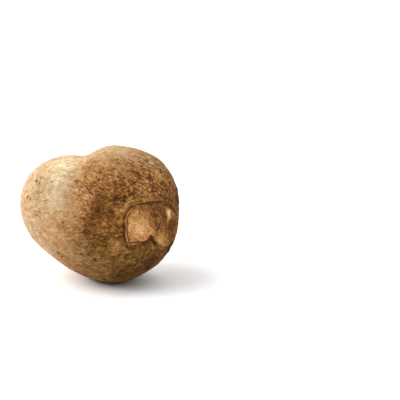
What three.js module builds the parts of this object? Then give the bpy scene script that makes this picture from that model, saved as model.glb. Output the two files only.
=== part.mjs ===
// A whole white yam tuber, short and stocky, as one closed solid.
// Millimetres. +Z is up, +X points from the pale toe towards the crown, and -Y is the side that
// carries the crown scar. The origin is on the ground, under the middle of the bounding box.
//
// The flesh is described as a field: a number for every point in space that is negative inside the
// tuber and positive outside it. Swollen lobes melt into each other, and hollows press the skin in.
// A ball of directions is pushed out from the heart of the tuber until each one meets the skin.
// Then the crown scar is pressed into that skin, and the ground flattens a small spot under it.

import * as THREE from "three";
import { mergeVertices } from "three/addons/utils/BufferGeometryUtils.js";

// ---- Driving dimensions ----

const CELLS = 28; // cells along each edge of the cube that becomes the ball of directions
const HEART = new THREE.Vector3(-8, 4, 66); // every part of the skin can be seen from here
const REACH = 130; // further from the heart than any skin
const HALVINGS = 30; // how often the search for the skin halves its step

const MELT = 5.4; // how softly two lobes run into each other

// The swollen lobes: where each is centred, and its half sizes.
const LOBES = {
  crown: { centre: [6.2, 1, 66.7], radii: [42, 59, 67.4] },
  shoulder: { centre: [15.4, 8, 77.4], radii: [53, 50, 55] },
  belly: { centre: [0, -2, 51], radii: [65, 52, 49.2] },
  toe: { centre: [-43.7, 18, 71.2], radii: [48.4, 46, 51.5] },
};

// Broad hollows in the skin: where each is deepest, how far it spreads, and how deep it is.
// A negative depth is a swelling.
const HOLLOWS = {
  waist: { at: [-3, -56, 75], spread: 17, depth: 2.6 },
  nape: { at: [40, -38, 109], spread: 14, depth: 1.6 },
  cheek: { at: [-46, -28, 59], spread: 18, depth: -1.5 },
  back: { at: [8, 62, 81], spread: 24, depth: 3.2 },
  flank: { at: [-30, 58, 41], spread: 20, depth: -2.4 },
  heel: { at: [62, 26, 35], spread: 18, depth: 2.4 },
  sole: { at: [-14, 8, 0], spread: 20, depth: -1.6 },
};

// The slow unevenness of a root that swelled between stones and soil.
const SWELL_HEIGHT = 0.6;
const SWELL_LENGTHS = [13, 17, 11];

// The crown scar, a tilted oval plate where the vine grew, inside a raised collar of bark.
const SCAR_AT = new THREE.Vector3(46, -40.5, 64.5);
const SCAR_YAW = 42; // degrees the plate is turned from -Y towards +X
const SCAR_PITCH = 8; // degrees it looks up
const SCAR_ROLL = 20; // degrees its far end hangs down
const SCAR_HALF_LENGTH = 29;
const SCAR_HALF_HEIGHT = 17;
const SCAR_SINK = 1.6; // depth of the plate under the skin round it
const SCAR_EDGE = 0.4; // width of the slope from the plate to the skin, as a share of its half size
const COLLAR_HEIGHT = 1.4;
const COLLAR_AT = 1.2; // where the collar is highest, as a share of the plate's half size
const COLLAR_SPREAD = 0.2;
const SCAR_DEPTH = 40; // nothing further behind the plate than this belongs to the scar

const SKIN_COLOUR = 0x8a6238;

// ---- The field ----

const lobes = Object.values(LOBES).map(({ centre, radii }) => ({
  centre: new THREE.Vector3(...centre),
  radii: new THREE.Vector3(...radii),
}));

const hollows = Object.values(HOLLOWS).map(({ at, spread, depth }) => ({
  at: new THREE.Vector3(...at),
  spread,
  depth,
}));

// How far a point is outside one lobe, nearly in millimetres; negative inside it.
function outsideLobe(point, { centre, radii }) {
  const scaled = point.clone().sub(centre).divide(radii);
  const stretch = scaled.length();
  const steepness = scaled.divide(radii).length();
  return (stretch * (stretch - 1)) / Math.max(steepness, 1e-9);
}

// All the lobes as one soft mass.
function outsideFlesh(point) {
  const distances = lobes.map((lobe) => outsideLobe(point, lobe));
  const nearest = Math.min(...distances);
  const sum = distances.reduce((total, d) => total + Math.exp((nearest - d) / MELT), 0);
  return nearest - MELT * Math.log(sum);
}

// How far the hollows press the skin in at a point.
function pressedIn(point) {
  return hollows.reduce((total, { at, spread, depth }) => {
    const away = point.distanceTo(at) / spread;
    return total + depth * Math.exp(-away * away);
  }, 0);
}

// The slow waves of the skin.
function swell(point) {
  const wave = (axis) => Math.sin(point.getComponent(axis) / SWELL_LENGTHS[axis] + axis);
  const [x, y, z] = [0, 1, 2].map(wave);
  return SWELL_HEIGHT * (x * y + y * z + z * x);
}

function field(point) {
  return outsideFlesh(point) + pressedIn(point) + swell(point);
}

// ---- The crown scar ----

// The scar's own axes: X along the plate, -Y out of the skin, Z across the plate.
const scarTurn = new THREE.Quaternion().setFromEuler(
  new THREE.Euler(
    THREE.MathUtils.degToRad(-SCAR_PITCH),
    THREE.MathUtils.degToRad(SCAR_ROLL),
    THREE.MathUtils.degToRad(SCAR_YAW),
    "ZXY",
  ),
);
const scarOut = new THREE.Vector3(0, -1, 0).applyQuaternion(scarTurn);
const toScar = new THREE.Matrix4().compose(SCAR_AT, scarTurn, new THREE.Vector3(1, 1, 1)).invert();

// How far the scar lifts the skin at a point: the collar raises it, and the plate sinks it.
function scarLift(point) {
  const place = point.clone().applyMatrix4(toScar);
  if (place.y > SCAR_DEPTH) return 0;
  const out = Math.hypot(place.x / SCAR_HALF_LENGTH, place.z / SCAR_HALF_HEIGHT);
  const plate = SCAR_SINK * (1 - THREE.MathUtils.smoothstep(out, 1 - SCAR_EDGE, 1 + SCAR_EDGE / 2));
  const collar = COLLAR_HEIGHT * Math.exp(-(((out - COLLAR_AT) / COLLAR_SPREAD) ** 2));
  return collar - plate;
}

// ---- The skin ----

// Where the skin lies along one direction from the heart.
function skinAlong(direction) {
  let inside = 0;
  let outside = REACH;
  for (let i = 0; i < HALVINGS; i += 1) {
    const middle = (inside + outside) / 2;
    const point = HEART.clone().addScaledVector(direction, middle);
    if (field(point) < 0) inside = middle;
    else outside = middle;
  }
  return HEART.clone().addScaledVector(direction, inside);
}

// A ball of directions made from a cube, whose cells stay nearly the same size all over.
function ballOfDirections() {
  const cube = new THREE.BoxGeometry(CELLS, CELLS, CELLS, CELLS, CELLS, CELLS);
  cube.deleteAttribute("normal");
  cube.deleteAttribute("uv");
  const ball = mergeVertices(cube);
  const places = ball.getAttribute("position");
  const evenly = (value) => Math.tan(((value / CELLS) * Math.PI) / 2);
  for (let i = 0; i < places.count; i += 1) {
    const place = new THREE.Vector3().fromBufferAttribute(places, i);
    place.set(evenly(place.x), evenly(place.y), evenly(place.z)).normalize();
    places.setXYZ(i, place.x, place.y, place.z);
  }
  return ball;
}

// The whole tuber. The ground flattens a small spot under it, and the origin goes to the middle
// of its footprint.
function tuberGeometry() {
  const tuber = ballOfDirections();
  const places = tuber.getAttribute("position");
  for (let i = 0; i < places.count; i += 1) {
    const skin = skinAlong(new THREE.Vector3().fromBufferAttribute(places, i));
    skin.addScaledVector(scarOut, scarLift(skin));
    places.setXYZ(i, skin.x, skin.y, Math.max(skin.z, 0));
  }
  tuber.computeBoundingBox();
  const middle = tuber.boundingBox.getCenter(new THREE.Vector3());
  tuber.translate(-middle.x, -middle.y, 0);
  tuber.computeVertexNormals();
  return tuber;
}

function barkMaterial() {
  return new THREE.MeshStandardMaterial({ color: SKIN_COLOUR, roughness: 0.9, metalness: 0 });
}

const tuber = new THREE.Mesh(tuberGeometry(), barkMaterial());
tuber.name = "yam_tuber";

const yam = new THREE.Group();
yam.add(tuber);

export default yam;
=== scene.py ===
# %% [markdown]
# # A whole white yam
# A white yam is one swollen root. This one is short and stocky: a rounded pale toe at one end, a
# broad brown crown at the other, and on the crown an oval scar where the vine broke off. This
# lesson starts from the plain solid of the tuber and gives it its skin: flakes of dry cork,
# fissures between them, small root pits, the scar with its collar, and the colours of all these.

import math

import bmesh
import bpy
from mathutils import Matrix, Vector, noise


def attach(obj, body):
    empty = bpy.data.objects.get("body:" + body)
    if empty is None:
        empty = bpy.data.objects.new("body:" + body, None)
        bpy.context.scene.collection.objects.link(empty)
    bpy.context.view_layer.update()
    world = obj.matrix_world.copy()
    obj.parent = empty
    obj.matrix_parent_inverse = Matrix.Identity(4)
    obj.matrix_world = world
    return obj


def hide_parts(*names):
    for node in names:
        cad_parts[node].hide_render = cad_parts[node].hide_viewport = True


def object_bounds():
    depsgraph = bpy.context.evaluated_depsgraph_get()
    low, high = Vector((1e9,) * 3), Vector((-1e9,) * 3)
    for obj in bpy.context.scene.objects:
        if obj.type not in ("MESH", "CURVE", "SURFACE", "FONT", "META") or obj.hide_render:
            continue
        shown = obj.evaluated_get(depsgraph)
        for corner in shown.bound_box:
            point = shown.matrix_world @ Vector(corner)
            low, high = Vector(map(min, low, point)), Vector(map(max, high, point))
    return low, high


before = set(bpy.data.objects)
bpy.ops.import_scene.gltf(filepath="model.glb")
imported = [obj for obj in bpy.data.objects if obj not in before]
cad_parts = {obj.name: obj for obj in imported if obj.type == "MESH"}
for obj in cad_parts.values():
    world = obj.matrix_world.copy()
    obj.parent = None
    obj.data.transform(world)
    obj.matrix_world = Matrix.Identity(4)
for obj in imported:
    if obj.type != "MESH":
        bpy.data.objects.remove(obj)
cad_low, cad_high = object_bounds()
MM = 0.001
print("solid, mm:", [round(side / MM, 1) for side in cad_high - cad_low])

# %% [markdown]
# ## The camera
# A small thing on a table is best seen from a little above, with a long lens that keeps its
# outline true. The tuber stands left of the middle and a little low in the view, so the camera is
# moved aside instead of turned, and no lens shift is needed.

# %% Place the camera
LENS = 85
LOOK_DOWN = math.radians(15)
CAMERA_AWAY = 946 * MM
TUBER_LEFT_OF_AIM = 101.5 * MM
TUBER_BELOW_AIM = 12.4 * MM

camera = bpy.data.objects.new("camera", bpy.data.cameras.new("camera"))
camera.data.lens = LENS
middle = (cad_low + cad_high) / 2
ahead = Vector((0, math.cos(LOOK_DOWN), -math.sin(LOOK_DOWN)))
upward = Vector((0, math.sin(LOOK_DOWN), math.cos(LOOK_DOWN)))
sideways = Vector((TUBER_LEFT_OF_AIM, 0, 0))
camera.location = middle - ahead * CAMERA_AWAY + sideways + upward * TUBER_BELOW_AIM
camera.rotation_euler = (math.radians(90) - LOOK_DOWN, 0, 0)
bpy.context.scene.collection.objects.link(camera)
bpy.context.scene.camera = camera
print("camera at, mm:", [round(c / MM) for c in camera.location])

# %% [markdown]
# ## A fine net of squares
# The bark's relief is only a millimetre deep, so it needs a fine and even net to be carved in.
# The solid comes as loose triangles. They are merged, paired into squares, and the squares are
# divided twice by a Subdivision Surface, which also rounds off the solid's flat faces. A voxel
# remesh would work too, but it leaves steps where the skin is nearly level.

# %% Turn the solid into a fine net
SAME_POINT = 0.01 * MM
ROUNDS_OF_DIVIDING = 2

net = bmesh.new()
net.from_mesh(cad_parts["yam_tuber"].data)
bmesh.ops.remove_doubles(net, verts=net.verts, dist=SAME_POINT)
bmesh.ops.join_triangles(
    net, faces=net.faces, angle_face_threshold=math.pi, angle_shape_threshold=math.pi
)
coarse = bpy.data.meshes.new("coarse_skin")
net.to_mesh(coarse)
net.free()

skin = bpy.data.objects.new("yam_skin", coarse)
bpy.context.scene.collection.objects.link(skin)
divide = skin.modifiers.new("divide", "SUBSURF")
divide.levels = divide.render_levels = ROUNDS_OF_DIVIDING
depsgraph = bpy.context.evaluated_depsgraph_get()
skin.data = bpy.data.meshes.new_from_object(skin.evaluated_get(depsgraph))
skin.modifiers.clear()
skin.data.name = "yam_skin"
print("squares:", len(skin.data.polygons))

# %% [markdown]
# ## Helpers for carving
# The relief is carved by moving each point of the net along its normal. It could be sculpted by
# hand or left to a Displace modifier, but here each point also has to say what it is, so that the
# colours fall in the same places, and a few lines of arithmetic do both. Most of it is soft steps
# and soft hills. Lengths in this part are in millimetres.

# %% Soft steps and soft hills
NOISE_SEED = 7
noise.seed_set(NOISE_SEED)  # unseeded, noise_vector starts from the clock and differs each run


def soft_step(value, low, high):
    """Rises softly from 0 at low to 1 at high."""
    share = min(max((value - low) / (high - low), 0), 1)
    return share * share * (3 - 2 * share)


def hill(distance, width):
    """A soft bump: 1 at no distance, and nearly 0 two widths away."""
    return math.exp(-((distance / width) ** 2))


print("half way up a step:", soft_step(0.5, 0, 1), "one width down a hill:", round(hill(1, 1), 2))

# %% [markdown]
# ## The grain of the root
# Cork splits along the way the root grew, so the flakes and fissures run from the toe to the crown
# and draw together at both ends, like the lines on a melon. The shoulder swelled upwards and over,
# and its grain follows a second line. A place is therefore told by how far it lies along a line
# and which way it faces round it. Where one grain gives way to the other, the edge is frayed.

# %% Two lines of growth
ROOT_LINE = (Vector((-75, 22, 66)), Vector((75, -22, 74)), 58)
SHOULDER_LINE = (Vector((-46, 29, 116)), Vector((57, 9, 90)), 55)

# The shoulder's grain begins at the first of each pair, and is alone past the second.
SHOULDER_HEIGHT = (88, 98)
SHOULDER_FROM_TOE = (-52, -38)
SHOULDER_FROM_BACK = (30, 12)
SHOULDER_FRAY = 8
SHOULDER_FRAY_SIZE = 14


def along_line(place, stretch, line=ROOT_LINE):
    """A place pressed together along a line of growth, so that noise comes out long there."""
    start, end, radius = line
    way = (end - start).normalized()
    offset = place - (start + end) / 2
    along = offset.dot(way)
    out = offset - way * along
    reach = radius * (out.length / radius) ** (1 / stretch)
    return out.normalized() * reach + way * along / stretch


def grain(place, size, stretch=1, octaves=2):
    """Noise with grains of about size millimetres, stretched along the root."""
    return noise.fractal(along_line(place, stretch) / size, 1, 2, octaves)


def on_shoulder(place):
    """Whether the grain of a place follows the shoulder's line, from 0 to 1."""
    frayed = place + noise.noise_vector(place / SHOULDER_FRAY_SIZE) * SHOULDER_FRAY
    share = soft_step(frayed.z, *SHOULDER_HEIGHT) * soft_step(frayed.x, *SHOULDER_FROM_TOE)
    return share * soft_step(frayed.y, *SHOULDER_FROM_BACK)


for name, (start, end, radius) in (("root", ROOT_LINE), ("shoulder", SHOULDER_LINE)):
    print("the grain of the", name, "runs along", [round(c, 2) for c in (end - start).normalized()])

# %% [markdown]
# ## A finer net round the scar
# The scar has lines less than a millimetre wide, finer than the net. Only its squares are divided
# once more, so that the rest of the skin does not become needlessly heavy.

# %% Divide the squares of the scar
SCAR_MIDDLE = Vector((53.6, -46.2, 67.3))
FINE_REACH = 44

net = bmesh.new()
net.from_mesh(skin.data)
scar_edges = [
    edge for edge in net.edges
    if ((edge.verts[0].co + edge.verts[1].co) / 2 / MM - SCAR_MIDDLE).length < FINE_REACH
]
bmesh.ops.subdivide_edges(net, edges=scar_edges, cuts=1, use_grid_fill=True)
net.to_mesh(skin.data)
net.free()
print("faces with the finer scar:", len(skin.data.polygons))

# %% [markdown]
# ## Light and dark skin
# Near the toe the cork is thin and the skin is pale and smooth. Towards the crown it thickens and
# turns brown. The change is wide and ragged, so it is taken as a distance from a point inside the
# crown, with noise that frays it.

# %% Pale toe, brown crown
CROWN_HEART = Vector((45, -15, 50))
PALE_FROM = 55
PALE_TO = 105
FRAY = 5
FRAY_SIZE = 12
FINE_FRAY = 2.5
FINE_FRAY_SIZE = 3


def paleness(place):
    """How pale and smooth the skin is, from 0 on the crown to 1 at the end of the toe."""
    away = (place - CROWN_HEART).length
    away += FRAY * grain(place, FRAY_SIZE, 2) + FINE_FRAY * grain(place, FINE_FRAY_SIZE, 2.5)
    return soft_step(away, PALE_FROM, PALE_TO)


print("paleness at the toe and the crown:", [round(paleness(Vector((x, 0, 70))), 2) for x in (-80, 60)])

# %% [markdown]
# ## Patches
# Patches are darker or lighter than the skin round them. Part of this is the skin's own uneven
# tone, and part is painted light and shade: a painted highlight on the top of the toe, and painted
# shade in the hollow left of the scar and on the crown's right end. The skin is also darker
# underneath. They could be painted by hand, but a short list can be read and changed: each patch
# is a soft hill, given by its middle, its reach and how much lighter or darker it is. Noise frays
# its edge.

# %% Tone of the skin, from 0 for dark to 1 for light
CROWN_TONE = 0.30
TOE_TONE = 0.575
PATCH_FRAY = 3
PATCH_FRAY_SIZE = 5

# Painted highlight on the toe's top, painted shade in the hollow and on the crown's right end.
TONE_LIGHT_AND_SHADE_PATCHES = [
    ((-37, -20, 105), 10, 0.19), ((-50, -3, 108), 15, 0.05), ((-30, -16, 106), 9, 0.05),
    ((-38, -29, 88), 12, 0.24), ((-33, -4, 118), 14, 0.26), ((-66, -9, 97), 9, 0.06),
    ((-82, 15, 78), 16, -0.10), ((-5, -24, 121), 10, -0.18), ((-12, -33, 108), 9, -0.12),
    ((6, -38, 118), 10, -0.12), ((7, -49, 103), 12, -0.16), ((3, -54, 85), 12, -0.20),
    ((-7, -55, 68), 10, -0.09), ((9, -61, 56), 11, -0.10), ((-9, -56, 58), 8, -0.08),
    ((49, -36, 102), 11, 0.18), ((28, -53, 98), 8, -0.10), ((61, -20, 110), 8, 0.16),
    ((53, -9, 124), 9, 0.12), ((50, -44, 91), 9, 0.05), ((31, -11, 132), 11, 0.14), ((31, -55, 91), 9, 0.20),
    ((22, -62, 52), 8, 0.20), ((81, 5, 74), 12, -0.14), ((80, -2, 85), 9, -0.18),
    ((72, -18, 36), 8, -0.26), ((29, -45, 16), 16, -0.13), ((53, -35, 25), 14, -0.18),
    ((-58, -5, 28), 8, -0.13), ((-50, -28, 52), 12, -0.07), ((-20, -47, 38), 10, 0.08),
    ((35, 40, 110), 20, 0.12), ((-10, 62, 70), 18, -0.14), ((50, 50, 50), 16, 0.12),
    ((-60, 40, 50), 14, 0.08),
]


def skin_tone(place, pale):
    """The tone between the crown's and the toe's, with the patches over it."""
    frayed = place + noise.noise_vector(place / PATCH_FRAY_SIZE) * PATCH_FRAY
    tone = CROWN_TONE + (TOE_TONE - CROWN_TONE) * pale
    return tone + sum(more * hill((frayed - Vector(at)).length, reach) for at, reach, more in TONE_LIGHT_AND_SHADE_PATCHES)


print("patches:", len(TONE_LIGHT_AND_SHADE_PATCHES))

# %% [markdown]
# ## Flakes and fissures
# The cork splits as the root swells, into flakes that are longer than they are wide, with dark
# fissures between them. A Voronoi pattern does this: each flake is a cell, and the fissure is
# where two cells meet. The places are pushed about by noise first, so that no edge is straight.
# Round the crown scar the bark is oldest, and it is lumpy too.

# %% The corky bark
FLAKE_WIDTH = 3.6
FLAKE_STRETCH = 2.2
FLAKE_WANDER = 2.2
WANDER_SIZE = 6
FISSURE_WIDTH = 0.30  # as a share of a flake
FLAKE_LIFT = 0.35
LIFT_DRAW = 5.3  # sends the middles of neighbouring flakes to different cells of noise
OLD_BARK_REACH = 55
KNOB_HEIGHT = 0.9
KNOB_SIZE = 4.5
KNOB_STRETCH = 1.4


def flakes(place, shoulder):
    """How high the bark is, and how deep in a fissure, at one place."""
    wander = noise.noise_vector(place / WANDER_SIZE) * FLAKE_WANDER
    line = SHOULDER_LINE if shoulder > 0.5 else ROOT_LINE
    reach, cells = noise.voronoi(along_line(place + wander, FLAKE_STRETCH, line) / FLAKE_WIDTH)
    fissure = 1 - soft_step(reach[1] - reach[0], 0, FISSURE_WIDTH)
    lift = noise.cell(cells[0] * LIFT_DRAW)
    return FLAKE_LIFT * lift, fissure


def old_bark(place):
    """How old and coarse the bark is, and the height of its lumps in millimetres."""
    old = hill((place - SCAR_MIDDLE).length, OLD_BARK_REACH)
    return old, KNOB_HEIGHT * old * grain(place, KNOB_SIZE, KNOB_STRETCH, octaves=3)


print("a flake, mm:", FLAKE_WIDTH, "wide,", round(FLAKE_WIDTH * FLAKE_STRETCH, 1), "long")

# %% [markdown]
# ## The crown scar
# Where the vine broke off, the crown has healed to a smooth plate. A groove runs round it, and
# the bark between the groove and the plate stands up in a thin lip. A wedge of old bark bites
# into the plate from below, with the stub of a vessel in it. These lines have shapes of their own
# that no noise would give, so the scar is drawn flat, in millimetres across and up from its
# middle: the plate as an outline, the rest as open lines.

# %% Draw the plate and the groove
PLATE = [
    (-22.2, 12), (-19.9, 16.6), (-15.7, 19.3), (-9.6, 20), (-2.4, 19.5), (4.8, 18), (13, 17),
    (20, 15.6), (27.2, 12.8), (32.6, 8.4), (35.9, 2.3), (36.6, -4), (35, -10), (31, -16),
    (28.5, -21), (24, -24.5), (17.5, -24), (11.4, -21.2), (7.2, -16.4), (4, -11), (2.6, -9.2),
    (0.5, -10.5), (-2.2, -13.4), (-5.6, -13.9), (-10.7, -13), (-17, -11.8), (-22.3, -12),
    (-23.6, -7.6), (-23.9, 0), (-23.4, 6.5),
]
GROOVE = [
    (-24.4, -16), (-26.3, -10), (-27.4, -4), (-27.1, 4), (-26.5, 10), (-24.5, 15.5), (-20.5, 20),
    (-15.3, 21.9), (-6.2, 22.9), (4, 22.3), (13.2, 21), (21, 19.4), (28, 16.5), (35.6, 9.7),
    (40, 0.6), (41.5, -7.6), (38.2, -16), (34.4, -24.2), (29.4, -29.5),
]
PLATE = [Vector(corner) for corner in PLATE]
GROOVE = [Vector(corner) for corner in GROOVE]
print("points of the plate and the groove:", len(PLATE), len(GROOVE))

# %% Draw the smaller cuts and ridges
# How high each is in the middle (cuts are below 0), how wide, and its points.
LINES = [
    (-0.6, 0.7, [(-28.6, -13.6), (-26.2, -15.5), (-23.5, -17), (-20, -15.9), (-15, -15.9)]),
    (-0.5, 0.6, [(-23.2, -11.9), (-24.2, -4.6), (-24.1, 2.8), (-23.1, 10), (-20.8, 16)]),
    (-0.5, 0.6, [(-23.2, -12.1), (-19.4, -12), (-14.7, -11.9), (-10.7, -13.8)]),
    (-0.5, 0.7, [(23, 16.6), (28.8, 14.4), (34.2, 9.6), (38.2, 6.5)]),
    (-0.5, 0.7, [(24.3, 24.3), (30.5, 21.7), (35.8, 16.9)]),
    (-0.4, 0.6, [(25.2, -7), (27, -14.4), (26.8, -20.7)]),
    (-0.7, 0.8, [(21.3, 9), (22.8, 5.7), (22.9, 3)]),
    (0.25, 0.8, [(-22.4, 25.4), (-16.7, 26.6), (-10.4, 27.4), (-3.5, 25.9), (6.2, 24), (19.5, 22.3)]),
    (0.15, 0.8, [(-21.3, 23.7), (-25.4, 19.3), (-28.4, 13.8), (-29.7, 6.6)]),
    (0.4, 0.8, [(-18.3, 20.3), (-23.4, 15.2), (-25.2, 9), (-25.8, 1.6), (-25.7, -5.8), (-24.6, -11.5)]),
    (0.3, 0.6, [(-24.6, -11.5), (-23.6, -14.3), (-18.6, -13.8), (-15.5, -14.1)]),
    (0.3, 0.8, [(37.3, 5.9), (39, 0), (38.6, -6.9), (34.8, -17), (31.5, -25)]),
    (0.3, 2.1, [(25, 11), (25.4, 6.7), (26.5, 3.8)]),
    (0.7, 1.3, [(2.6, -18), (3.6, -23)]),
]

LINES = [(rise, width, [Vector(corner) for corner in line]) for rise, width, line in LINES]
print("cuts:", sum(line[0] < 0 for line in LINES), "ridges:", sum(line[0] > 0 for line in LINES))

# %% [markdown]
# ## From the drawing to the skin
# The skin under the scar is nearly flat, so the drawing can be laid straight on it, turned to face
# the way that the scar faces. A place on the skin then asks how far it lies from each line and how
# far it is inside the plate.

# %% Measure from the drawing
SCAR_YAW = math.radians(39)
SCAR_PITCH = math.radians(9)
SCAR_REACH = 55
SCAR_THICKNESS = 25  # nothing further than this behind the plate belongs to the scar

scar_turn = Matrix.Rotation(SCAR_YAW, 3, "Z") @ Matrix.Rotation(-SCAR_PITCH, 3, "X")
scar_across, scar_inward, scar_up = scar_turn.col


def from_line(point, line):
    """How far a point is from an open line."""
    nearest = math.inf
    for start, end in zip(line, line[1:]):
        side = end - start
        share = min(max((point - start).dot(side) / side.length_squared, 0), 1)
        nearest = min(nearest, (point - start - side * share).length)
    return nearest


def outside(point, outline):
    """How far a point is outside a closed outline; negative inside it."""
    inside = False
    for (x, y), (next_x, next_y) in zip(outline, outline[1:] + outline[:1]):
        if (y > point.y) != (next_y > point.y):
            inside ^= point.x < x + (next_x - x) * (point.y - y) / (next_y - y)
    away = from_line(point, outline + outline[:1])
    return -away if inside else away


def on_scar(place):
    """The place in the scar's flat drawing, or None where it is too far away."""
    offset = place - SCAR_MIDDLE
    if offset.length > SCAR_REACH or offset.dot(scar_inward) > SCAR_THICKNESS:
        return None
    return Vector((offset.dot(scar_across), offset.dot(scar_up)))


print("the scar looks towards", [round(-c, 2) for c in scar_inward])

# %% [markdown]
# ## Stains on the plate
# The healed plate is tan, with pale patches where it is rubbed and dark ones where sap and soil
# have dried. They are soft hills again, this time in the flat drawing: the middle, the reach, and
# how much lighter or darker.

# %% Stains on the plate
PLATE_TONE = 0.47

STAINS = [
    ((-15, 3), 13, 0.30), ((-8, -5), 8, 0.20), ((3, -7), 3, 0.25), ((15.5, -17), 5.5, 0.20),
    ((25.5, 4), 3.6, 0.45), ((25, 9), 2.6, 0.4), ((-6, 19), 5, -0.25), ((6, 16.5), 6, -0.25),
    ((15, 15), 6, -0.2), ((8.4, 8.3), 4.5, -0.38), ((17, 9.8), 5, -0.38), ((20, 3.7), 4, -0.35),
    ((28, -5), 7, -0.45), ((33, -3), 6, -0.25), ((12, -3), 6, -0.3), ((-13.8, 10), 2.2, -0.2),
    ((-13.5, 6.5), 1.5, -0.2), ((31, -14), 4, -0.35), ((30, -21), 4, -0.3),
]
print("stains:", len(STAINS))

# %% [markdown]
# ## Carve the scar
# The plate keeps the solid's shape. The lip and the collar stand up on either side of the groove,
# and the wedge sinks in. Healed bark never has a ruled edge, so the drawing is made to wander a
# little, and the groove and the finer lines fade here and there.

# %% The scar's relief and tone
SCAR_MARGIN = 14  # how far outside the plate the scar's own relief ends
SCAR_WANDER = 0.7
SCAR_WANDER_SIZES = (4, 1.5)
PLATE_EDGE = (-0.6, 0.7)  # from inside the plate's outline to outside it
LIP_HEIGHT = 0.4
LIP_WIDTH = 1.6
GROOVE_DEPTH = 0.9
GROOVE_WIDTH = 1.05
COLLAR_HEIGHT = 0.5
COLLAR_WIDTH = 1.6
COLLAR_AWAY = 2.6  # from the middle of the groove
WEDGE_DEPTH = 2
WEDGE_WIDTH = 4
WEDGE_MIDDLE = Vector((1, -14))
WEDGE_REACH = (14, 9)  # where the wedge begins, and where it is whole
FULL_RIDGE = 0.4  # a ridge this high is rubbed to the plate's own colour
RIDGE_TONE = 0.3
RIDGE_COVER = 0.75


def scar(place):
    """The scar's relief, how much plate and how much painted shade of the cuts there is, and its tone."""
    drawn = on_scar(place)
    if drawn is None:
        return 0, 0, 0, 0
    slow, quick = (noise.noise_vector(place / size) for size in SCAR_WANDER_SIZES)
    wander = slow + 0.6 * quick
    drawn += Vector((wander.x, wander.z)) * SCAR_WANDER
    from_plate = outside(drawn, PLATE)
    if from_plate > SCAR_MARGIN:
        return 0, 0, 0, 0
    broken = soft_step(noise.noise(place / 3), -0.45, 0.1)
    from_groove = from_line(drawn, GROOVE)
    groove = hill(from_groove, GROOVE_WIDTH) * (0.75 + 0.25 * broken)
    plate = 1 - soft_step(from_plate, *PLATE_EDGE)
    wedge = (1 - plate) * hill(max(from_plate, 0), WEDGE_WIDTH)
    wedge *= soft_step((drawn - WEDGE_MIDDLE).length, *WEDGE_REACH)
    height = LIP_HEIGHT * hill(from_plate + LIP_WIDTH, LIP_WIDTH) - GROOVE_DEPTH * groove
    height += COLLAR_HEIGHT * hill(from_groove - COLLAR_AWAY, COLLAR_WIDTH) * (from_plate > 0)
    height -= WEDGE_DEPTH * wedge
    # dark is how much painted shade the groove, the wedge and the cut lines get.
    dark, light = max(groove, wedge), 0
    for rise, width, line in LINES:
        near = hill(from_line(drawn, line), width) * (0.55 + 0.45 * broken)
        height += rise * near
        if rise < 0:
            dark = max(dark, near)
        else:
            light = max(light, near * min(rise / FULL_RIDGE, 1))
    stain = PLATE_TONE + RIDGE_TONE * light * (1 - dark)
    stain += sum(more * hill((drawn - Vector(at)).length, reach) for at, reach, more in STAINS)
    return height, max(plate, light * RIDGE_COVER), dark, stain


print("height in the middle of the plate, mm:", round(scar(SCAR_MIDDLE)[0], 2))

# %% [markdown]
# ## Root pits
# Thin feeder roots once grew from the skin. Where each has dropped off it leaves a dark pit no
# wider than a lentil, with a slightly raised rim. They are put where they lie on the skin, as
# points in the tuber's own space, each with its radius.

# %% Root pits
PIT_DEPTH = 0.8
PIT_FLATNESS = 1.5  # above 1, the pit has a floor
PIT_REACH = 4  # in radii: further out, neither the pit nor its rim can be seen
RIM_HEIGHT = 0.3
RIM_AT = 2  # in radii
RIM_WIDTH = 0.7

PITS = [
    ((-59, -11, 103), 1.4), ((-54, -11, 106.5), 1.1), ((-55.5, -15, 102), 0.8),
    ((-69, -12, 87), 1.4), ((-65, -16.5, 85.5), 0.9), ((-41, 0.6, 118), 0.9),
    ((-46, -8.4, 112), 0.9), ((-65, -10, 44.5), 1.0), ((-36.5, -37.6, 37), 1.4),
    ((-33, -37.6, 33), 1.1), ((32, 8, 133), 0.9), ((-18, -23, 106), 0.9),
    ((-30, -42.6, 69.4), 0.9), ((-43, -19.5, 104), 0.8), ((-52, 30, 106), 1.2), ((-70, 34, 72), 1.0),
]


def pits(place):
    """How deep in a pit a place is, and how high on its rim, both from 0 to 1."""
    depth, rim = 0, 0
    for middle_of_pit, radius in PITS:
        away = (place - Vector(middle_of_pit)).length / radius
        if away < PIT_REACH:
            depth = max(depth, min(PIT_FLATNESS * hill(away, 1), 1))
            rim = max(rim, hill(away - RIM_AT, RIM_WIDTH))
    return depth, rim


print("pits:", len(PITS))

# %% [markdown]
# ## Long cracks
# Here and there the bark has split in a crack much longer than a flake. Each is a few points on
# the skin joined by straight stretches, and noise makes the line between them wander.

# %% Long cracks
CRACK_WIDTH = 0.6
CRACK_DEPTH = 0.5
CRACK_WANDER = 0.7
CRACK_WANDER_SIZE = 2.5
CRACK_REACH = 30  # further from its first point, no crack is looked for

CRACKS = [
    [
        (-23.6, -49.5, 57), (-23.6, -47.6, 65.7), (-16.5, -50.3, 67.5), (-8.5, -53.6, 68),
        (-6, -56.8, 58.6),
    ],
    [(19, -57, 91.6), (25, -56.5, 91.8), (30, -55.4, 91.2)],
    [(-28, -40.6, 75), (-23.6, -42.6, 75.5)],
    [(-62, -21, 75), (-58, -24, 75.6), (-54.4, -26.3, 75.4)],
    [(-59.5, -23, 72.8), (-55.2, -26.3, 70.8)],
    [(-58, -19.5, 92), (-55.7, -20.4, 93.4)],
]
CRACKS = [[Vector(corner) for corner in crack] for crack in CRACKS]


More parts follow.
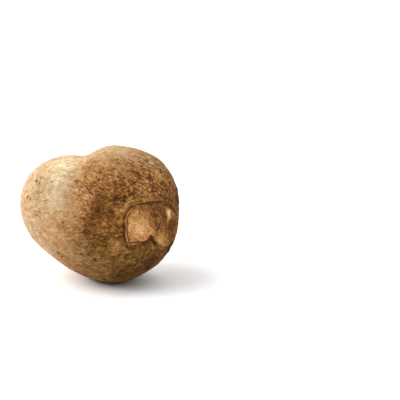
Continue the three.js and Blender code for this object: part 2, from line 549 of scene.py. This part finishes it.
def cracks(place):
    """How deep in a crack a place is, from 0 to 1."""
    place = place + noise.noise_vector(place / CRACK_WANDER_SIZE) * CRACK_WANDER
    nearest = math.inf
    for crack in CRACKS:
        if (place - crack[0]).length < CRACK_REACH:
            nearest = min(nearest, from_line(place, crack))
    return hill(nearest, CRACK_WIDTH)


print("cracks:", len(CRACKS))

# %% [markdown]
# ## Raise the skin
# Every point of the net is now given its height over the net, the sum of the reliefs. What was
# worked out on the way is kept, because the material colours the pale toe, the fissures and the
# scar in the same places. The toe is smoothest and the plate has no flakes. The skin starts a
# little under the solid's, so that the flakes reach about the solid's surface. A film of soil lies
# on the lower part.

# %% Work out each point's height and what it is
START_UNDER = 0.35
FISSURE_DEPTH = 0.45
SWELL_HEIGHT = 0.3
SWELL_SIZES = (14, 6)
TOE_SMOOTHNESS = 0.7
SMOOTH_FROM = 0.7  # the paleness from which the toe is as smooth as it gets
LUMP_SHADE = 0.12
SOIL_ALL = 35  # soil covers the skin up to this height, and thins out up to the next
SOIL_NONE = 75

KEPT = ("pale", "old", "shoulder", "soiled", "tone", "fissure", "scar", "groove", "stain", "pit")

kept = {name: [] for name in KEPT}
moved = []
for point in skin.data.vertices:
    place = point.co / MM
    pale = paleness(place)
    shoulder = on_shoulder(place)
    lift, fissure = flakes(place, shoulder)
    relief, plate, groove, stain = scar(place)
    pit, rim = pits(place)
    crack = cracks(place)
    rough = (1 - TOE_SMOOTHNESS * soft_step(pale, 0, SMOOTH_FROM)) * (1 - plate)
    old, lump = old_bark(place)
    height = rough * (lift - FISSURE_DEPTH * fissure + lump) + relief - CRACK_DEPTH * crack
    slow, quick = (grain(place, size) for size in SWELL_SIZES)
    height += SWELL_HEIGHT * (slow + 0.5 * quick) + RIM_HEIGHT * rim
    height -= PIT_DEPTH * pit + START_UNDER
    moved.append(place + point.normal * height)
    # Higher lumps are painted lighter and the dips between them darker, a painted shade.
    shade = skin_tone(place, pale) + LUMP_SHADE * rough * lump
    soiled = soft_step(place.z, SOIL_NONE, SOIL_ALL)
    found = (pale, old, shoulder, soiled, shade, fissure, plate, max(groove, crack), stain, pit)
    for values, value in zip(kept.values(), found):
        values.append(value)
print("points worked out:", len(moved))

# %% [markdown]
# ## Move the points
# The moved points are kept inside the solid's box, and the spot that the tuber rests on stays
# level. The kept values go on the points as attributes, which the material can read by name.

# %% Move the points and store the attributes
SPOT_HEIGHT = 0.6

low, high = cad_low / MM, cad_high / MM
for point, place in zip(skin.data.vertices, moved):
    if point.co.z / MM < SPOT_HEIGHT:
        place.z = min(place.z, point.co.z / MM)
    point.co = Vector(min(max(c, a), b) for c, a, b in zip(place, low, high)) * MM
for name, values in kept.items():
    skin.data.attributes.new(name, "FLOAT", "POINT").data.foreach_set("value", values)
skin.data.polygons.foreach_set("use_smooth", [True] * len(skin.data.polygons))
skin.data.update()
print("attributes:", ", ".join(kept))

# %% [markdown]
# ## The bark's colours
# The colour comes from cork of two ages. Young cork is thin and streaky: pale fibres, dark hairs
# and short splits, all along the grain. Old cork, round the crown scar, is thick and breaks up into
# clumps. A painted skin wrapped round the tuber would show a seam, so every colour is worked out
# in place, from noise and from the values that the carving kept. Small helpers wire the nodes, so
# that a line of code reads like a line of arithmetic.

# %% Start the bark's material
bark = bpy.data.materials.new("corky_bark")
bark.use_nodes = True
nodes, links = bark.node_tree.nodes, bark.node_tree.links
shader = nodes["Principled BSDF"]


def feed(socket, value):
    """Links a socket to another node's output, or sets it to a plain value."""
    if isinstance(value, bpy.types.NodeSocket):
        links.new(value, socket)
    else:
        socket.default_value = value


def add(kind, **settings):
    node = nodes.new(kind)
    for name, value in settings.items():
        setattr(node, name, value)
    return node


def kept_value(name):
    """A value that the carving kept on the points."""
    return add("ShaderNodeAttribute", attribute_name=name).outputs["Fac"]


print("material:", bark.name)


# %% Arithmetic on values
def calculate(way, first, second):
    node = add("ShaderNodeMath", operation=way)
    feed(node.inputs[0], first)
    feed(node.inputs[1], second)
    return node.outputs[0]


def contrast(value, low, high, out_low=0, out_high=1):
    """Turns a value softly, so that low comes out as out_low and high as out_high."""
    node = add("ShaderNodeMapRange", interpolation_type="SMOOTHSTEP")
    for socket, number in zip(node.inputs, (value, low, high, out_low, out_high)):
        feed(socket, number)
    return node.outputs[0]


def shift(value, middle, amount):
    """Noise made into a small change, lighter or darker."""
    return calculate("MULTIPLY", calculate("SUBTRACT", value, middle), amount)


def between(first, second, share):
    """Goes from the first number to the second as the share goes from 0 to 1."""
    return calculate("ADD", first, calculate("MULTIPLY", calculate("SUBTRACT", second, first), share))


print("the carving kept", len(KEPT), "values for the colours to start from")

# %% [markdown]
# ## Clouds, hairlines and splits
# Three patterns make all the marks. Noise is a cloud of soft grains. Where noise passes its middle
# value there is a long thin line that wanders and forks like a hair. The edges of Voronoi cells
# make a net, like dry cork that has split. Sizes are in millimetres.


# %% Patterns for the marks
def cloud(where, size, detail=3, roughness=0.6, distortion=0):
    """Noise whose grains are about size millimetres across."""
    node = add("ShaderNodeTexNoise")
    feed(node.inputs["Vector"], where)
    feed(node.inputs["Scale"], 1 / size)
    feed(node.inputs["Detail"], detail)
    feed(node.inputs["Roughness"], roughness)
    feed(node.inputs["Distortion"], distortion)
    return node.outputs[0]


def pushed_about(where, size, by):
    """Places pushed about by noise, so that lines through them wander."""
    node = add("ShaderNodeTexNoise")
    feed(node.inputs["Vector"], where)
    feed(node.inputs["Scale"], 1 / size)
    push = add("ShaderNodeVectorMath", operation="MULTIPLY_ADD")
    feed(push.inputs[0], node.outputs[1])
    feed(push.inputs[1], (by, by, by))
    feed(push.inputs[2], where)
    return push.outputs[0]


def hairlines(where, size, width):
    """Long thin lines that wander and fork: 1 in a line and 0 beside it."""
    away = calculate("ABSOLUTE", calculate("SUBTRACT", cloud(where, size, 3, 0.55), 0.5), 0)
    return contrast(away, width, 0)


def net_of_cracks(where, size, width):
    """Dark lines round cells of about size millimetres: 1 in a line and 0 beside it."""
    node = add("ShaderNodeTexVoronoi", feature="DISTANCE_TO_EDGE")
    feed(node.inputs["Vector"], where)
    feed(node.inputs["Scale"], 1 / size)
    return contrast(node.outputs["Distance"], width, 0)


print("patterns: clouds, hairlines and nets of cracks")

# %% [markdown]
# ## Places along the grain
# A pattern is laid out by the places that it is given. Object coordinates stay with the tuber
# however it is moved. A Mapping node turns them along a line of growth and into millimetres, and
# squeezing them along that line makes every grain long. The distance out from the line is
# squeezed too, so that the streaks draw together at both ends, as the carved fissures do.


# %% Places in millimetres, plain and along a line
def vector_step(way, first, second):
    node = add("ShaderNodeVectorMath", operation=way)
    feed(node.inputs[0], first)
    feed(node.inputs[1], second)
    return node.outputs[0]


def turned_to(line):
    """Places in millimetres whose X runs along a line, from the line's middle."""
    start, end, radius = line
    turn = (end - start).to_track_quat("X", "Z").to_matrix().transposed()
    turned = add("ShaderNodeMapping", vector_type="POINT")
    feed(turned.inputs["Vector"], add("ShaderNodeTexCoord").outputs["Object"])
    feed(turned.inputs["Rotation"], turn.to_euler())
    feed(turned.inputs["Scale"], (1 / MM, 1 / MM, 1 / MM))
    feed(turned.inputs["Location"], -(turn @ (start + end) / 2))
    return turned.outputs[0]


plain = turned_to(ROOT_LINE)
by_shoulder = turned_to(SHOULDER_LINE)


def streaked(stretch, places=plain, radius=ROOT_LINE[2]):
    """Places where grains come out long, from one end of a line to the other."""
    out = vector_step("MULTIPLY", places, (0, 1, 1))
    out_length = add("ShaderNodeVectorMath", operation="LENGTH")
    feed(out_length.inputs[0], out)
    share = calculate("DIVIDE", out_length.outputs["Value"], radius)
    reach = calculate("MULTIPLY", calculate("POWER", share, 1 / stretch), radius)
    round_line = vector_step("NORMALIZE", out, (0, 0, 0))
    long_way = vector_step("MULTIPLY", places, (1 / stretch, 0, 0))
    return vector_step("ADD", vector_step("MULTIPLY", round_line, reach), long_way)


print("distance from the lines where nothing is squeezed, mm:", ROOT_LINE[2], SHOULDER_LINE[2])

# %% [markdown]
# ## How strong the marks are
# The marks aren't equally strong all over. They stand out most on the shoulder, where the cork is
# dry. They are fainter on the thin skin of the toe, in dark places, in the old bark, and low down,
# where soil fills them. Each of these is one factor.

# %% Strength of the marks
pale = kept_value("pale")
old = kept_value("old")
shoulder = kept_value("shoulder")
soiled = kept_value("soiled")

marks = contrast(kept_value("tone"), 0.12, 0.4, 0.5, 1.05)
# What the factor depends on, where it starts, where it ends, and how strong the marks are there.
for value, start, end, strength in (
    (pale, 0.05, 0.8, 0.25), (shoulder, 0, 1, 1.75), (old, 0.2, 0.6, 0.7), (soiled, 0, 1, 0.65),
):
    marks = calculate("MULTIPLY", marks, contrast(value, start, end, 1, strength))
print("nodes so far:", len(nodes))

# %% [markdown]
# ## Young cork
# Young cork has light grains, pale fibres, dark hairs and short splits, one over the other. The
# light grains and the fibres are partly painted highlights, where flakes catch the light. All
# four follow the same line of growth. The hairs and the splits come in tufts, so each has a cloud
# that says where it grows. Over the shoulder the strokes are longer and straighter than on the
# body, and there the darkest places are held back, because a hair that crosses a split there
# would make a black dot.

# %% Strokes of young cork
GRAIN_SIZE = 1.6
GRAIN_LIGHT = 1.3
HAIR_SIZE = 3.0
HAIR_WIDTH = 0.06
SPLIT_SIZE = 2.2
SPLIT_WIDTH = 0.14
SPLIT_DARK = 0.13
FIBRE_SIZE = 2.2
FIBRE_WIDTH = 0.07
FIBRE_AND_GLINT_LIGHT = 0.17
SHOULDER_DARKEST = -0.19


def strokes(line, places, stretch, wander, darkness):
    """The young cork's light and dark strokes along one line, and its splits alone."""
    radius = line[2]
    short = streaked(2, places, radius)
    long = streaked(stretch + 1, places, radius)
    grains = cloud(streaked(stretch, places, radius), GRAIN_SIZE, 4, 0.75, 0.8)
    hairs = hairlines(pushed_about(long, 5, wander), HAIR_SIZE, HAIR_WIDTH)
    where_hairy = contrast(cloud(short, 5, 3), 0.4, 0.55)
    hairs = calculate("MULTIPLY", calculate("MULTIPLY", hairs, where_hairy), darkness)
    wavy = pushed_about(streaked(2.2, places, radius), 2.5, 2.5)
    where_split = contrast(cloud(short, 3, 3), 0.62, 0.42)
    splits = calculate("MULTIPLY", net_of_cracks(wavy, SPLIT_SIZE, SPLIT_WIDTH), where_split)
    splits = calculate("MULTIPLY", splits, SPLIT_DARK)
    fibres_and_glints = hairlines(pushed_about(long, 4, wander), FIBRE_SIZE, FIBRE_WIDTH)
    # The light grains and fibres are partly painted highlights of flakes catching the light.
    lighter = calculate("ADD", shift(grains, 0.48, GRAIN_LIGHT), calculate("MULTIPLY", fibres_and_glints, FIBRE_AND_GLINT_LIGHT))
    return calculate("SUBTRACT", lighter, calculate("ADD", hairs, splits)), splits


young, splits = strokes(ROOT_LINE, plain, stretch=2.5, wander=7, darkness=0.36)
young_shoulder, shoulder_splits = strokes(
    SHOULDER_LINE, by_shoulder, stretch=3.2, wander=3, darkness=0.26
)
young_shoulder = calculate("MAXIMUM", young_shoulder, SHOULDER_DARKEST)
young = between(young, young_shoulder, shoulder)
splits = between(splits, shoulder_splits, shoulder)
print("nodes with the strokes:", len(nodes))

# %% [markdown]
# ## Old cork
# Old cork has lost its streaks. It has swollen into clumps, light on top and dark between, and the
# same splits run over them. The light tops and dark gaps are partly painted light and shade, over
# the same pattern that the Bump node raises. The clumps take over from the strokes little by
# little towards the scar, as the carved lumps do.

# %% Clumps of old cork
CLUMP_SIZE = 3.0
CLUMP_DARK = -0.31
CLUMP_LIGHT = 0.66
CLUMP_DARKEST = -0.17  # with the splits over them
BODY_LIGHTER = 0.02  # added to the marks everywhere but on the shoulder

# Painted light and shade on the clumps: lighter tops, darker gaps.
clumps = contrast(cloud(streaked(1.3), CLUMP_SIZE, 5, 0.75, 0.6), 0.3, 0.85, CLUMP_DARK, CLUMP_LIGHT)
clumps = calculate("SUBTRACT", clumps, calculate("MULTIPLY", splits, 0.75))
clumps = calculate("MAXIMUM", clumps, CLUMP_DARKEST)
fine = between(young, clumps, contrast(old, 0.25, 0.6))
fine = calculate("ADD", fine, contrast(shoulder, 0, 1, BODY_LIGHTER, 0))
print("nodes with the clumps:", len(nodes))

# %% [markdown]
# ## One tone from all of them
# The tone that the carving kept is where the skin starts. Slow clouds make it uneven, the fine
# marks go over it, the pale toe gets freckles and mottles of its own, and the carved fissures are
# darkened last. One number is then left for every place, and the next cell turns it into colour.

# %% Tone of the cork
CLOUD_AMOUNT = 0.35
FRECKLE_DARK = 0.4
MOTTLE_AMOUNT = 0.45
FISSURE_DARK = 0.12
TOE_FISSURE_DARK = 0.05

tone = calculate("ADD", kept_value("tone"), shift(cloud(plain, 5, 4), 0.5, CLOUD_AMOUNT))
tone = calculate("ADD", tone, calculate("MULTIPLY", fine, marks))
freckles = contrast(cloud(streaked(2.2), 2.6, 2), 0.64, 0.7)
freckles = calculate("MULTIPLY", freckles, contrast(pale, 0.65, 1, 0, FRECKLE_DARK))
tone = calculate("SUBTRACT", tone, freckles)
mottles = shift(cloud(plain, 4.5, 2, 0.5), 0.5, MOTTLE_AMOUNT)
tone = calculate("ADD", tone, calculate("MULTIPLY", mottles, contrast(pale, 0.4, 1)))
fissures = contrast(pale, 0, 1, FISSURE_DARK, TOE_FISSURE_DARK)
fissures = calculate("MULTIPLY", kept_value("fissure"), fissures)
tone = calculate("SUBTRACT", tone, fissures)
print("nodes with the tone:", len(nodes))

# %% [markdown]
# ## From tone to colour
# A ramp gives every tone its colour. Dark cork is a strong brown and light cork a greyer straw, so
# a plain mix of black and tan would look like soot. Old cork stays warmer than young cork where it
# is light. Colours are given as a screen shows them, and one helper turns them into the linear
# values that the shader works with.


# %% Young and old cork
def colour(red, green, blue):
    """A colour as it looks on a screen, 0 to 255, turned into the shader's linear values."""
    return [((c / 255 + 0.055) / 1.055) ** 2.4 for c in (red, green, blue)] + [1]


def ramp(value, stops):
    """A colour for every value from 0 to 1, given at a few stops, of which the ends come first."""
    node = add("ShaderNodeValToRGB")
    band = node.color_ramp.elements
    for number, (at, shade) in enumerate(stops):
        stop = band[number] if number < 2 else band.new(at)
        stop.position, stop.color = at, shade
    feed(node.inputs[0], value)
    return node.outputs[0]


def mix(under, over, share, way="MIX"):
    """Lays one colour over another, as much as the share says."""
    node = add("ShaderNodeMix", data_type="RGBA", blend_type=way)
    feed(node.inputs[0], share)
    feed(node.inputs[6], under)
    feed(node.inputs[7], over)
    return node.outputs[2]


young_cork = ramp(tone, [
    (0.0, colour(60, 33, 3)), (1.0, colour(243, 228, 195)), (0.12, colour(95, 56, 11)),
    (0.22, colour(118, 79, 37)), (0.35, colour(150, 106, 58)), (0.45, colour(159, 124, 86)),
    (0.55, colour(176, 144, 107)), (0.75, colour(205, 182, 145)),
])
old_cork = ramp(tone, [
    (0.0, colour(60, 33, 3)), (1.0, colour(228, 186, 138)), (0.12, colour(95, 55, 11)),
    (0.22, colour(117, 79, 37)), (0.35, colour(156, 106, 54)), (0.6, colour(194, 144, 90)),
])
coat = mix(young_cork, old_cork, contrast(old, 0.15, 0.5))
print("black to white, linear:", round(colour(0, 0, 0)[0], 3), "to", round(colour(255, 255, 255)[0], 3))

# %% [markdown]
# ## Pink, yellow and soil
# Brown skin of one hue looks like cardboard. On the root it drifts between a pinkish and a
# yellowish brown, and low down a film of soil takes out some of the red. A thin colour multiplied
# over the coat does both and leaves the marks to be seen.

# %% Tints over the cork
PINKISH = colour(255, 236, 236)
YELLOWISH = colour(250, 250, 214)
SOIL_FILM = colour(240, 255, 255)

tint = contrast(cloud(plain, 4, 3, 0.5), 0.4, 0.6)
tinted = contrast(pale, 0.3, 0.9, 0.6, 0.35)
coat = mix(coat, mix(PINKISH, YELLOWISH, tint), tinted, "MULTIPLY")
soiled = calculate("MULTIPLY", soiled, contrast(pale, 0, 0.6, 1, 0))
coat = mix(coat, SOIL_FILM, soiled, "MULTIPLY")
print("nodes with the tints:", len(nodes))

# %% [markdown]
# ## The scar's plate, the cuts and the pits
# The plate has no cork, so it gets a ramp of its own, from dark sap to rubbed tan. Blotches and
# specks break up its stains. Then the grooves, the wedge, the long cracks and the pits are
# coloured dark: painted shade in these cuts and hollows, darker than their carved depth would
# cast by itself.

# %% Colours of the plate, the cuts and the pits
BLOTCH_SIZE = 2.8
SPECK_SIZE = 1.6
SPECK_DARK = 0.22
# Painted shade: the dark colour filled into the cuts, the cracks and the pits.
CUT_SHADE_COLOUR = colour(82, 44, 13)
CUT_COVER = 0.9
PIT_SHADE_COLOUR = colour(54, 34, 8)

stain = kept_value("stain")
blotches = shift(cloud(plain, BLOTCH_SIZE, 5, 0.8), 0.5, 1)
blotches = calculate("MULTIPLY", blotches, contrast(stain, 0.1, 0.5, 3.6, 1.8))
specks = calculate("MULTIPLY", contrast(cloud(plain, SPECK_SIZE, 3), 0.55, 0.63), SPECK_DARK)
stain = calculate("SUBTRACT", calculate("ADD", stain, blotches), specks)
plate = ramp(stain, [
    (0.0, colour(86, 50, 16)), (1.0, colour(236, 192, 138)), (0.35, colour(132, 84, 36)),
    (0.7, colour(202, 146, 86)),
])
coat = mix(coat, plate, kept_value("scar"))
coat = mix(coat, CUT_SHADE_COLOUR, calculate("MULTIPLY", kept_value("groove"), CUT_COVER))
coat = mix(coat, PIT_SHADE_COLOUR, kept_value("pit"))
feed(shader.inputs["Base Color"], coat)
print("nodes with the plate:", len(nodes))

# %% [markdown]
# ## A dry surface
# Dry cork is rough and hardly shines. The thin skin of the toe has a faint bloom that shows when
# light grazes it, and a little Sheen gives that. Grains finer than the net go into a Bump node,
# made from the same marks as the colour, so that the dark hairs lie in and the pale fibres stand
# out. The carved relief does everything larger.

# %% Roughness, sheen and fine relief
ROUGHNESS = 0.85
SHINE = 0.15
TOE_SHEEN = 0.24
SHEEN_ROUGHNESS = 0.3
BUMP_HEIGHT = 0.5 * MM

feed(shader.inputs["Roughness"], ROUGHNESS)
feed(shader.inputs["Specular IOR Level"], SHINE)
feed(shader.inputs["Sheen Weight"], contrast(pale, 0.5, 1, 0, TOE_SHEEN))
feed(shader.inputs["Sheen Roughness"], SHEEN_ROUGHNESS)
bump = add("ShaderNodeBump")
feed(bump.inputs["Strength"], 0.9)
feed(bump.inputs["Distance"], BUMP_HEIGHT)
feed(bump.inputs["Height"], calculate("MULTIPLY", fine, contrast(pale, 0, 0.8, 0.8, 0.3)))
feed(shader.inputs["Normal"], bump.outputs[0])
print("nodes in the whole material:", len(nodes))

# %% [markdown]
# ## Join the skin to the root
# The skin takes the place of the plain solid, moves with its body and fills its material slot.

# %% Put the bark on the skin
skin.data.materials.clear()
skin.data.materials.append(bark)
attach(skin, "root")
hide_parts("yam_tuber")
print("skin:", skin.name, "in", bark.name)

# %% [markdown]
# ## The table and the light
# A plain white table in a white room. The room itself gives little light but looks white to the
# camera, which a Light Path node tells apart from the light that falls on the tuber.

# %% White table
TABLE_SIZE = 40
TABLE_WHITE = 0.9


def plain_material(name, shade):
    material = bpy.data.materials.new(name)
    material.use_nodes = True
    surface = material.node_tree.nodes["Principled BSDF"]
    surface.inputs["Base Color"].default_value = (shade, shade, shade, 1)
    surface.inputs["Roughness"].default_value = 0.9
    surface.inputs["Specular IOR Level"].default_value = 0.1
    return material


sheet = bmesh.new()
bmesh.ops.create_grid(sheet, x_segments=1, y_segments=1, size=TABLE_SIZE / 2)
table = bpy.data.objects.new("table", bpy.data.meshes.new("table"))
sheet.to_mesh(table.data)
sheet.free()
table.data.materials.append(plain_material("white_table", TABLE_WHITE))
bpy.context.scene.collection.objects.link(table)
print("table, metres:", TABLE_SIZE)

# %% White room
ROOM_LIGHT = 0.1

room = bpy.data.worlds.new("white_room")
room.use_nodes = True
room_nodes, room_links = room.node_tree.nodes, room.node_tree.links
dim = room_nodes["Background"]
dim.inputs["Color"].default_value = (1, 1, 1, 1)
dim.inputs["Strength"].default_value = ROOM_LIGHT
white = room_nodes.new("ShaderNodeBackground")
white.inputs["Color"].default_value = (1, 1, 1, 1)
seen = room_nodes.new("ShaderNodeLightPath")
choose = room_nodes.new("ShaderNodeMixShader")
room_links.new(seen.outputs["Is Camera Ray"], choose.inputs[0])
room_links.new(dim.outputs[0], choose.inputs[1])
room_links.new(white.outputs[0], choose.inputs[2])
room_links.new(choose.outputs[0], room_nodes["World Output"].inputs["Surface"])
bpy.context.scene.world = room
print("room light:", ROOM_LIGHT)

# %% [markdown]
# ## Six soft windows
# Most of the light comes from the left: low from behind it, so that it grazes the bark and brings
# out the relief, and high and low from the side. A window high behind on the right lights the
# crown's edge, a weak low one on the right keeps that side from going black, and a faint one at
# the front left lifts the rest. Each is a Sun lamp with a wide angle, which gives a soft shadow and
# needs no distance.

# %% Windows
WINDOW_WIDTH = 50  # degrees of the sky that each fills


def window(name, round_from_front, height, brightness):
    """A far, large, soft light. Its bearing and height are in degrees."""
    light = bpy.data.lights.new(name, "SUN")
    light.energy = brightness
    light.angle = math.radians(WINDOW_WIDTH)
    holder = bpy.data.objects.new(name, light)
    bearing, height = math.radians(round_from_front), math.radians(height)
    level = math.cos(height)
    towards = Vector((math.sin(bearing) * level, -math.cos(bearing) * level, math.sin(height)))
    holder.rotation_euler = towards.to_track_quat("Z", "Y").to_euler()
    bpy.context.scene.collection.objects.link(holder)


# Name, degrees round from the front, degrees up, and brightness.
WINDOWS = [
    ("low_behind_left", 225, 20, 2.4), ("high_left", 270, 50, 2.2), ("low_left", 270, 20, 1.6),
    ("low_right", 90, 20, 1.0), ("high_behind_right", 135, 50, 1.6), ("front_left", 315, 50, 0.7),
]
for name, bearing, height, brightness in WINDOWS:
    window(name, bearing, height, brightness)
bpy.context.scene.view_settings.view_transform = "Standard"
print("windows:", len(WINDOWS))
